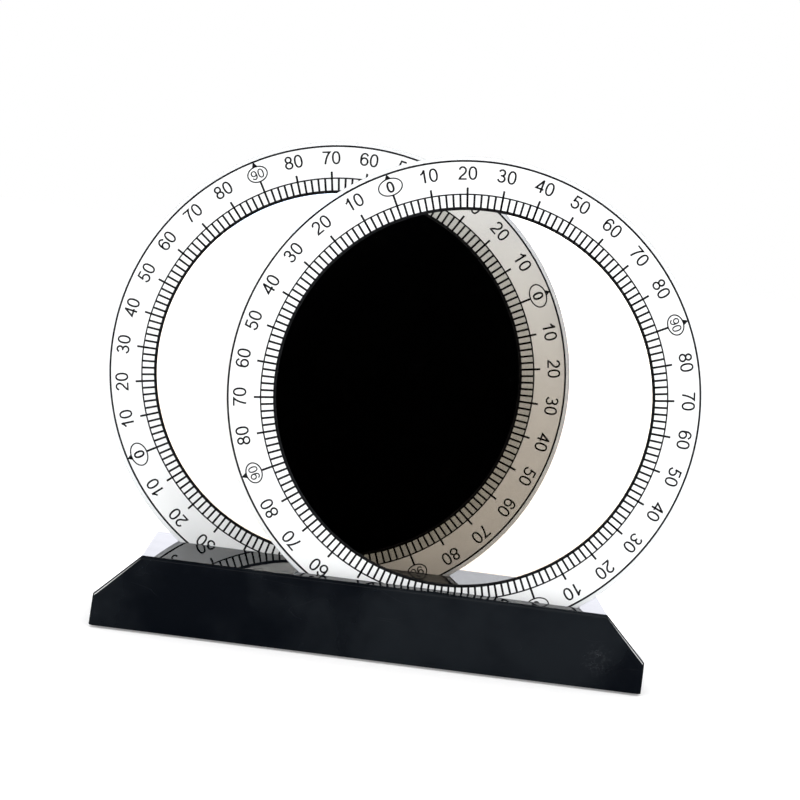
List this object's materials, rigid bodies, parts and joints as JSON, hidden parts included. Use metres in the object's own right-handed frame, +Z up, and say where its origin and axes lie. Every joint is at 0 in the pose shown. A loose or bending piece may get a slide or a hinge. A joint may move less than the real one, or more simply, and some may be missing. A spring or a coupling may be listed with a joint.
{
  "type": "polarization demonstrator",
  "caption": "Teaching instrument: polarizing discs with printed angle scales stand on edge in a slotted base and turn by hand, so that crossed windows go black.",
  "frame": {"origin": "middle of the base, on the surface that the rubber feet stand on", "axes": "+X to the viewer's right along the base, +Y from the front disc to the rear disc, +Z up; the light path through the discs runs along Y"},
  "size_m": [0.19, 0.048, 0.1598],
  "materials": {
    "housing_plastic": "glossy black moulding",
    "cover_plastic": "fine matt black moulding",
    "screw_steel": "zinc plated",
    "foot_rubber": "soft black rubber",
    "clear_plate": "clear polished sheet",
    "ring_white": "white printed sheet",
    "polarizing_film": "neutral grey film"
  },
  "bodies": {
    "base": {"base_housing": "housing_plastic", "bottom_cover": "cover_plastic", "cover_screws": "screw_steel", "rubber_feet": "foot_rubber"},
    "front_disc": {"front_disc_front_plate": "clear_plate", "front_disc_scale_ring": "ring_white", "front_disc_film": "polarizing_film", "front_disc_rear_plate": "clear_plate"},
    "rear_disc": {"rear_disc_front_plate": "clear_plate", "rear_disc_scale_ring": "ring_white", "rear_disc_film": "polarizing_film", "rear_disc_rear_plate": "clear_plate"}
  },
  "joints": [
    {"name": "front_disc_turn", "type": "hinge", "parent": "base", "child": "front_disc", "pos_m": [0.02, -0.016, 0.0848], "axis": [0, 1, 0], "continuous": true},
    {"name": "rear_disc_turn", "type": "hinge", "parent": "base", "child": "rear_disc", "pos_m": [-0.02, 0.01, 0.0848], "axis": [0, 1, 0], "continuous": true}
  ]
}
